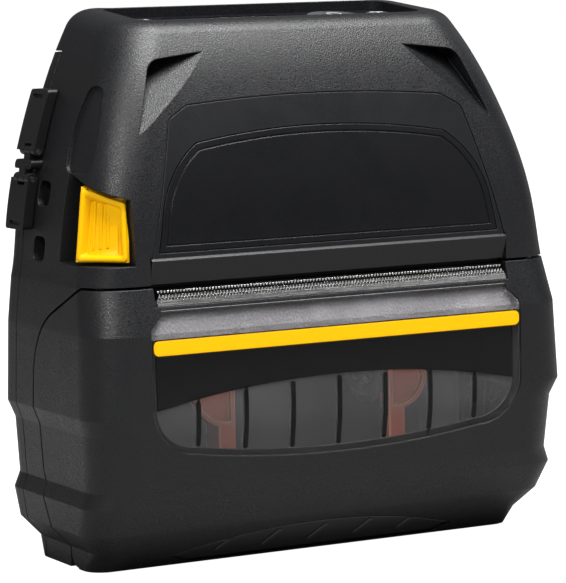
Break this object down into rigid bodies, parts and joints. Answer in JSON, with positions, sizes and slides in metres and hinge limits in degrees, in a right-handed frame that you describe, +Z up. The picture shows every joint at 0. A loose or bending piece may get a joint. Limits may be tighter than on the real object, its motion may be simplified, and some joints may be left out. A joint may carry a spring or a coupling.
{
  "type": "portable label printer",
  "caption": "Portable label printer with a smoked roll window, yellow stripe and release lever, hinged front cover, display and keys on top.",
  "frame": {"origin": "middle of the printer's footprint, on the face it stands on", "axes": "+X to the right seen from the window, +Y from the window to the back, +Z up"},
  "size_m": [0.155, 0.067, 0.1581],
  "materials": {
    "shell_plastic": "fine texture, charcoal",
    "bezel_plastic": "satin, near black",
    "panel_plastic": "satin gloss, near black",
    "lip_plastic": "gloss, near black",
    "yellow_plastic": "smooth, warm yellow",
    "smoked_window": "smoked, polished",
    "mask_film": "gloss, black",
    "seal_rubber": "matt, black",
    "display_glass": "polished, dark",
    "module_plastic": "satin, black",
    "circuit_board": "lacquered, green",
    "key_rubber": "matt, dark grey",
    "bright_steel": "bright, brushed",
    "shaft_steel": "ground",
    "plate_steel": "rolled",
    "motor_steel": "satin",
    "screw_steel": "blackened",
    "socket_steel": "bright",
    "bearing_plastic": "natural, smooth",
    "platen_rubber": "ground, dark grey",
    "gear_plastic": "natural, smooth",
    "pinion_brass": "turned",
    "contact_brass": "plated",
    "head_ceramic": "glazed, pale",
    "sink_aluminium": "cast, satin",
    "tub_plastic": "satin, near black",
    "media_plastic": "satin, copper brown",
    "battery_plastic": "fine texture, near black",
    "door_rubber": "matt, black",
    "socket_plastic": "gloss, black"
  },
  "bodies": {
    "housing": {"main_housing": "shell_plastic", "rear_housing": "shell_plastic", "front_bezel": "bezel_plastic", "front_panel": "panel_plastic", "upper_tear_bar": "bright_steel", "hinge_pins": "shaft_steel", "housing_screws": "screw_steel", "media_tub": "tub_plastic", "media_sensor": "module_plastic", "arm_rod": "shaft_steel", "print_frame": "plate_steel", "head_pin": "shaft_steel", "head_springs": "shaft_steel", "drive_motor": "motor_steel", "lever_pin": "shaft_steel", "lever_spring": "shaft_steel", "control_panel": "panel_plastic", "display_lens": "display_glass", "display_module": "module_plastic", "keypad_board": "circuit_board", "main_board": "circuit_board", "battery_contacts": "contact_brass", "port_hinge_block": "door_rubber", "port_pins": "shaft_steel", "power_socket": "socket_plastic", "data_socket": "socket_steel"},
    "cover": {"cover_frame": "shell_plastic", "cover_window": "smoked_window", "window_seal": "seal_rubber", "window_mask": "mask_film", "yellow_stripe": "yellow_plastic", "bottom_insert": "lip_plastic", "lower_tear_bar": "bright_steel", "platen_bearings": "bearing_plastic"},
    "platen": {"platen_roller": "platen_rubber", "platen_shaft": "shaft_steel", "platen_gear": "gear_plastic"},
    "idler": {"idler_gear": "gear_plastic"},
    "pinion": {"motor_pinion": "pinion_brass"},
    "head": {"printhead": "head_ceramic", "heat_sink": "sink_aluminium"},
    "latch": {"latch_hooks": "plate_steel"},
    "lever": {"latch_lever": "yellow_plastic"},
    "arm_left": {"arm_left": "media_plastic", "rack_left": "gear_plastic"},
    "arm_right": {"arm_right": "media_plastic", "rack_right": "gear_plastic"},
    "rack_gear": {"rack_pinion": "gear_plastic"},
    "disk_left": {"media_disk_left": "tub_plastic"},
    "disk_right": {"media_disk_right": "tub_plastic"},
    "power_key": {"power_button": "key_rubber"},
    "feed_key": {"feed_button": "key_rubber"},
    "nav_key": {"nav_pad": "key_rubber"},
    "select_key": {"select_button": "key_rubber"},
    "battery": {"battery_pack": "battery_plastic"},
    "door_upper": {"port_door_upper": "door_rubber"},
    "door_lower": {"port_door_lower": "door_rubber"}
  },
  "joints": [
    {"name": "cover_hinge", "type": "hinge", "parent": "housing", "child": "cover", "pos_m": [0, -0.0012, 0.0044], "axis": [1, 0, 0], "range_deg": [0, 90]},
    {"name": "platen_spin", "type": "hinge", "parent": "cover", "child": "platen", "pos_m": [0, -0.022, 0.0728], "axis": [1, 0, 0], "continuous": true},
    {"name": "idler_spin", "type": "hinge", "parent": "housing", "child": "idler", "pos_m": [0, -0.00897, 0.08032], "axis": [1, 0, 0], "continuous": true},
    {"name": "pinion_spin", "type": "hinge", "parent": "housing", "child": "pinion", "pos_m": [0, -0.00214, 0.09215], "axis": [1, 0, 0], "continuous": true},
    {"name": "head_pivot", "type": "hinge", "parent": "housing", "child": "head", "pos_m": [0, -0.0125, 0.083], "axis": [-1, 0, 0], "range_deg": [0, 2], "stiffness_Nm_per_rad": 0.3, "springref_deg": -2.86},
    {"name": "latch_release", "type": "hinge", "parent": "housing", "child": "latch", "pos_m": [0, -0.0145, 0.0875], "axis": [-1, 0, 0], "range_deg": [0, 6], "stiffness_Nm_per_rad": 0.1, "springref_deg": -11.46},
    {"name": "lever_swing", "type": "hinge", "parent": "housing", "child": "lever", "pos_m": [-0.0603, -0.0208, 0.1], "axis": [0, 0, -1], "range_deg": [0, 12]},
    {"name": "arm_left_slide", "type": "slide", "parent": "housing", "child": "arm_left", "axis": [-1, 0, 0], "range_m": [0, 0.031], "stiffness_N_per_m": 40, "springref_m": -0.01},
    {"name": "arm_right_slide", "type": "slide", "parent": "housing", "child": "arm_right", "axis": [1, 0, 0], "range_m": [0, 0.031]},
    {"name": "rack_gear_spin", "type": "hinge", "parent": "housing", "child": "rack_gear", "pos_m": [0, 0.018, 0.0066], "axis": [0, 0, 1], "range_deg": [0, 450]},
    {"name": "disk_left_spin", "type": "hinge", "parent": "arm_left", "child": "disk_left", "pos_m": [-0.0262, 0.0005, 0.051], "axis": [1, 0, 0], "continuous": true},
    {"name": "disk_right_spin", "type": "hinge", "parent": "arm_right", "child": "disk_right", "pos_m": [0.0262, 0.0005, 0.051], "axis": [1, 0, 0], "continuous": true},
    {"name": "power_press", "type": "slide", "parent": "housing", "child": "power_key", "axis": [0, 0.1115, -0.9938], "range_m": [0, 0.0006], "stiffness_N_per_m": 300, "springref_m": -0.0005},
    {"name": "feed_press", "type": "slide", "parent": "housing", "child": "feed_key", "axis": [0, 0.1115, -0.9938], "range_m": [0, 0.0006], "stiffness_N_per_m": 300, "springref_m": -0.0005},
    {"name": "nav_press", "type": "slide", "parent": "housing", "child": "nav_key", "axis": [0, 0.1115, -0.9938], "range_m": [0, 0.0006], "stiffness_N_per_m": 300, "springref_m": -0.0005},
    {"name": "select_press", "type": "slide", "parent": "housing", "child": "select_key", "axis": [0, 0.1115, -0.9938], "range_m": [0, 0.0006], "stiffness_N_per_m": 300, "springref_m": -0.0005},
    {"name": "battery_slide", "type": "slide", "parent": "housing", "child": "battery", "axis": [0, 1, 0], "range_m": [0, 0.02]},
    {"name": "door_upper_hinge", "type": "hinge", "parent": "housing", "child": "door_upper", "pos_m": [-0.0711, 0.019, 0.1184], "axis": [0, -1, 0], "range_deg": [0, 90]},
    {"name": "door_lower_hinge", "type": "hinge", "parent": "housing", "child": "door_lower", "pos_m": [-0.0733, 0.019, 0.1106], "axis": [0, 1, 0], "range_deg": [0, 90]}
  ],
  "couplings": [
    {"joint": "idler_spin", "follows": "platen_spin", "ratio": -0.59259},
    {"joint": "pinion_spin", "follows": "platen_spin", "ratio": 1.3333},
    {"joint": "lever_swing", "follows": "latch_release", "ratio": 2},
    {"joint": "arm_right_slide", "follows": "arm_left_slide", "ratio": 1},
    {"joint": "rack_gear_spin", "follows": "arm_left_slide", "rad_per_m": 250}
  ]
}
